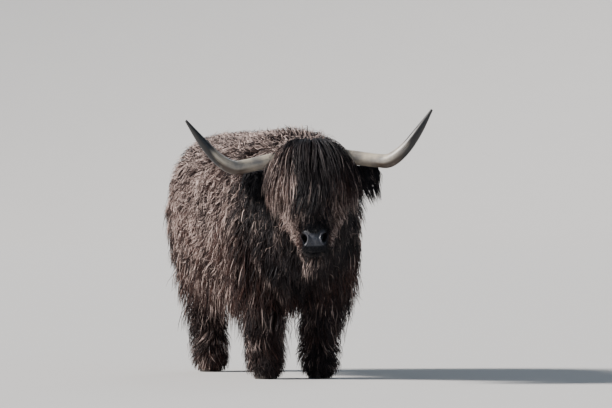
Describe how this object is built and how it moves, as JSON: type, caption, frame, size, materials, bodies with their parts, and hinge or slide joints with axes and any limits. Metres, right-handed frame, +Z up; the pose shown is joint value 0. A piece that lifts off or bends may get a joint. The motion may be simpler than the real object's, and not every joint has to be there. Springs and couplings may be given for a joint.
{
  "type": "highland cow",
  "caption": "Life-size still model of a shaggy, near-black highland cow standing square, head turned to its right, with long upswept horns and a forelock over the eyes.",
  "frame": {"origin": "on the floor, under the middle of the whole model's bounding box", "axes": "+Z up; the body lies along Y with the head towards -Y, so the cow's left side is +X"},
  "size_m": [1.106, 2.1606, 1.2685],
  "materials": {
    "coat": "long, shaggy, near-black hair with brown and straw tips",
    "nose_pad": "bare slate-black nose, slightly moist",
    "udder_skin": "thinly haired skin",
    "horn_sheath": "ivory horn with dark tips, satin",
    "eyeball": "wet, dark brown",
    "hoof_horn": "dull black hoof"
  },
  "bodies": {
    "root": {"trunk": "coat", "neck": "coat", "tail": "coat", "tail_switch": "coat", "udder": "udder_skin", "head": "coat", "muzzle": "nose_pad", "jaw": "coat", "horn_left": "horn_sheath", "horn_right": "horn_sheath", "ear_left": "coat", "ear_right": "coat", "eye_left": "eyeball", "eye_right": "eyeball", "upper_foreleg_left": "coat", "lower_foreleg_left": "coat", "claw_foreleg_left_outer": "hoof_horn", "claw_foreleg_left_inner": "hoof_horn", "upper_foreleg_right": "coat", "lower_foreleg_right": "coat", "claw_foreleg_right_outer": "hoof_horn", "claw_foreleg_right_inner": "hoof_horn", "upper_hindleg_left": "coat", "lower_hindleg_left": "coat", "claw_hindleg_left_outer": "hoof_horn", "claw_hindleg_left_inner": "hoof_horn", "upper_hindleg_right": "coat", "lower_hindleg_right": "coat", "claw_hindleg_right_outer": "hoof_horn", "claw_hindleg_right_inner": "hoof_horn"}
  },
  "joints": []
}
